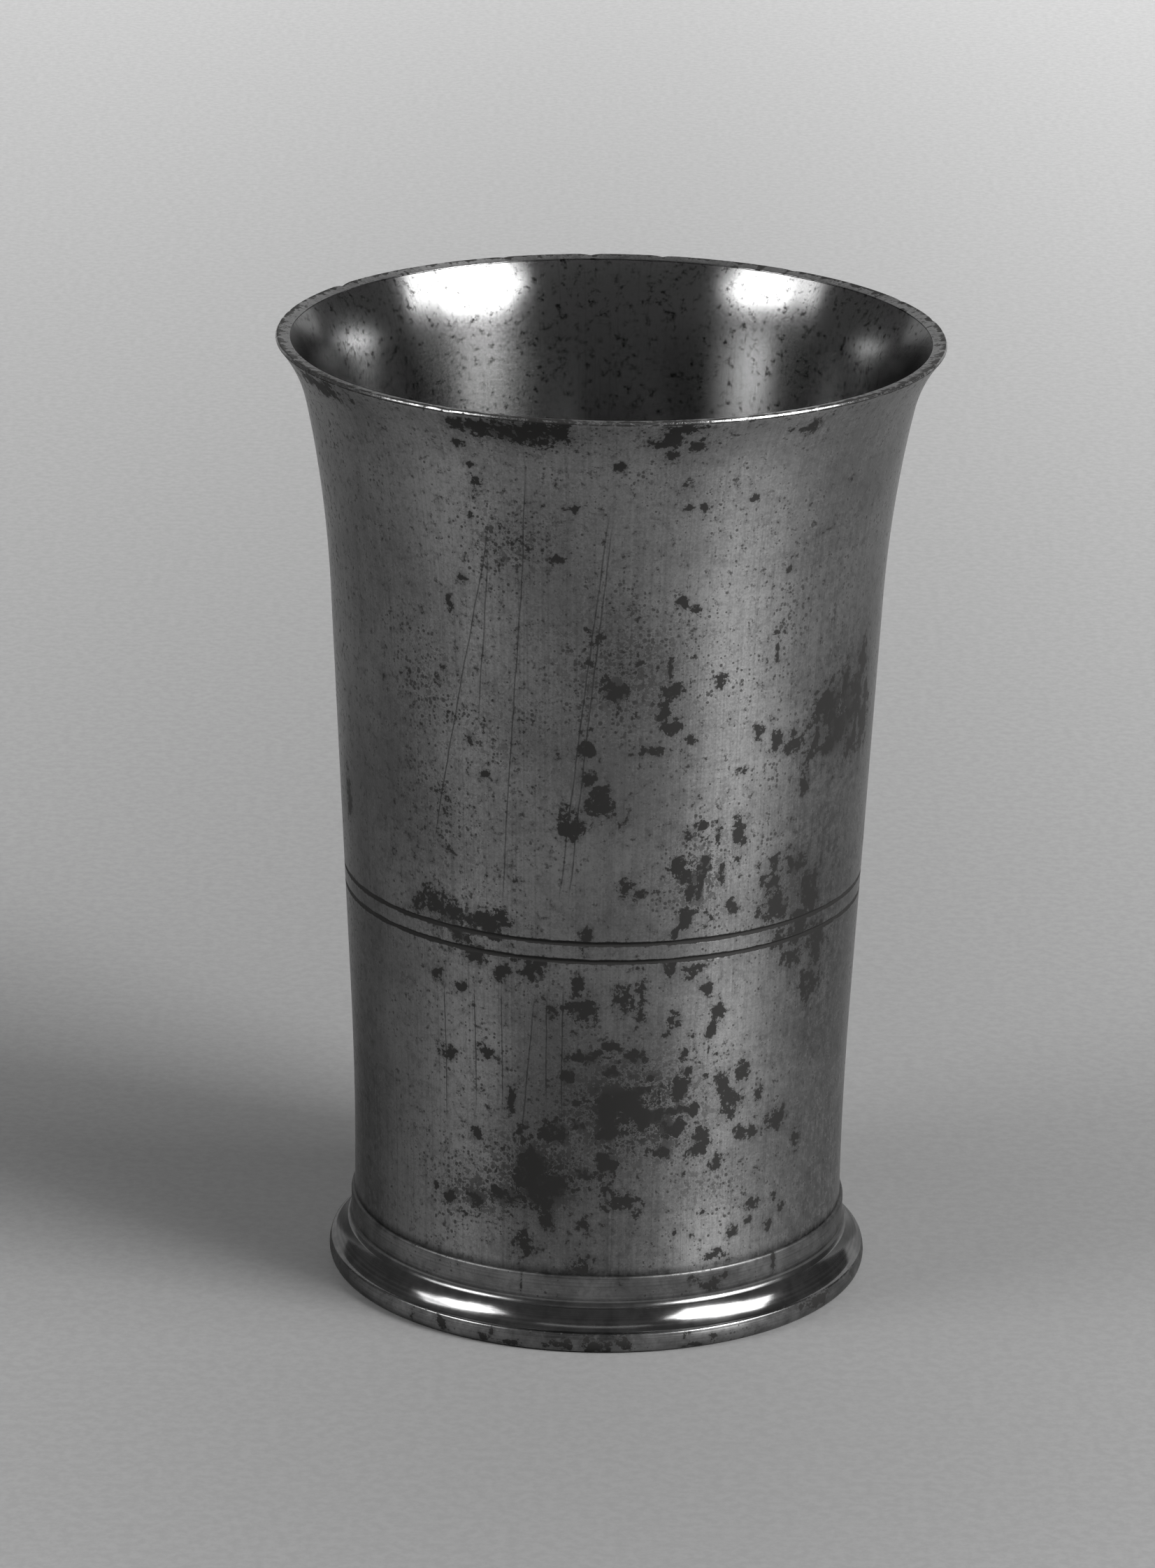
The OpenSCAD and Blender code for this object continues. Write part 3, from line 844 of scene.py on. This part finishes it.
# %% [markdown]
# ## The finish of the foot ring
# The two hollows of the real foot show clear bright reflections, and the plinth below and the band above
# them are duller and spotted. Two materials would leave a hard border between them, so one finish goes from
# dull to polished and back by the height above the table.

# %% Finish of the foot ring
FOOT_DARK, FOOT_LIGHT = 0.17, 0.27
foot_pewter, foot_shader, on_foot = start_finish("foot_pewter")
foot_height = part_of(on_foot, "Z")
hollows = rise(foot_height, 2.4, 2.9) * (1 - rise(foot_height, 6.2, 6.6))
top_edge = rise(foot_height, 9.2, 9.5)
above_arris = rise(foot_height, 5.35, 5.6)
foot_eaten, foot_tarnish = corroded(on_foot)
foot_patches = foot_eaten * (1 - hollows)
foot_cloud = noise(on_foot, 5.0, 6.0, 0.7)
foot_turning = noise_along(foot_height, 4.0, 3.0)
foot_texture = rise(foot_cloud * 0.7 + foot_turning * 0.3, 0.38, 0.62)
foot_bare = blend(foot_texture, grey(FOOT_DARK), grey(FOOT_LIGHT))
foot_bare = blend(top_edge * 0.45 + foot_tarnish * (1 - hollows) * 0.4, foot_bare, TARNISHED)
foot_colour = blend(foot_patches, foot_bare, CORRODED)
polish = hollows * (1 - above_arris * 0.45) - top_edge * 0.6
foot_shine = 0.34 - polish * 0.2 + (foot_cloud - 0.5) * (0.3 - hollows * 0.2) + foot_patches * 0.2
foot_metal = 1 - foot_patches * CORRODED_METAL_LOSS
feed(foot_shader, Base_Color=foot_colour, Metallic=foot_metal, Roughness=foot_shine)
feed(foot_shader, Anisotropic=0.4, Anisotropic_Rotation=0.25)
feed(foot_shader, Specular_IOR_Level=0.1, Specular_Tint=grey(0.6))
foot.data.materials.append(foot_pewter)
print("nodes in the foot's finish:", len(foot_pewter.node_tree.nodes))

# %% [markdown]
# ## The floor and the solder
# The photograph doesn't show these pieces, so they follow how such beakers are made. The floor is a plain
# disc that lies on the foot's ledge, and soft solder closes the joint: a film in the socket and a hollow
# fillet in each corner. A beaker is looked into, so the floor gets turning rings and the solder a smoother,
# brighter skin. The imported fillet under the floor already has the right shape, so it only gets a finish.

# %% Floor plate and solder
FILLET_LEG, FILLET_SINK = 1.5, -0.22
FLOOR_RADII = [0, 8, 20, SPIGOT_R]
floor_under = [(radius, FLOOR_Z) for radius in FLOOR_RADII]
floor_upper = [(radius, FLOOR_TOP) for radius in reversed(FLOOR_RADII)]
disc = np.array(floor_under + floor_upper)
floor_disc = turned_piece("floor_disc", disc[:, 0], disc[:, 1], "floor_plate", closed=False)
film = np.array([(SPIGOT_R, FLOOR_Z), (SOCKET_R, FLOOR_Z), (SOCKET_R, SEAM_Z), (SPIGOT_R, SEAM_Z)])
seam_film = turned_piece("seam_film", film[:, 0], film[:, 1], "seam_solder")
fillet_top = (INNER_R, FLOOR_TOP + FILLET_LEG)
fillet_end = (INNER_R - FILLET_LEG, FLOOR_TOP)
fillet = np.concatenate([[(INNER_R, FLOOR_TOP)], sunk_arc(fillet_top, fillet_end, FILLET_SINK, 8)])
inside_bead = turned_piece("inside_bead", fillet[:, 0], fillet[:, 1], "inside_solder")
under_lo, under_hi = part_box("under_solder")
print("under fillet box:", under_lo, under_hi)

# %% Finish of the floor and the solder
FLOOR_DARK, FLOOR_LIGHT = 0.22, 0.36
SOLDER_DARK, SOLDER_LIGHT = 0.45, 0.55
floor_pewter, floor_shader, on_floor = start_finish("floor_pewter")
from_axis = on_floor.node("ShaderNodeVectorMath", {"operation": "LENGTH"}, {0: on_floor}, output="Value")
rings = noise_along(from_axis, 1.5, 4.0)
floor_texture = rise(noise(on_floor, 6.0, 4.0, 0.6) * 0.5 + rings * 0.5, 0.35, 0.65)
floor_colour = blend(floor_texture, grey(FLOOR_DARK), grey(FLOOR_LIGHT))
feed(floor_shader, Base_Color=floor_colour, Metallic=1.0, Roughness=0.28 + rings * 0.2)
floor_disc.data.materials.append(floor_pewter)
solder, solder_shader, on_solder = start_finish("solder")
skin = noise(on_solder, 2.0, 3.0)
solder_colour = blend(skin, grey(SOLDER_DARK), grey(SOLDER_LIGHT))
feed(solder_shader, Base_Color=solder_colour, Metallic=1.0, Roughness=0.22 + skin * 0.1)
under_bead = frame["nodes"]["under_solder"]
under_bead.data.materials.clear()
for bead in (seam_film, inside_bead, under_bead):
    bead.data.materials.append(solder)
print("finishes:", sorted(material.name for material in (body_pewter, foot_pewter, floor_pewter, solder)))
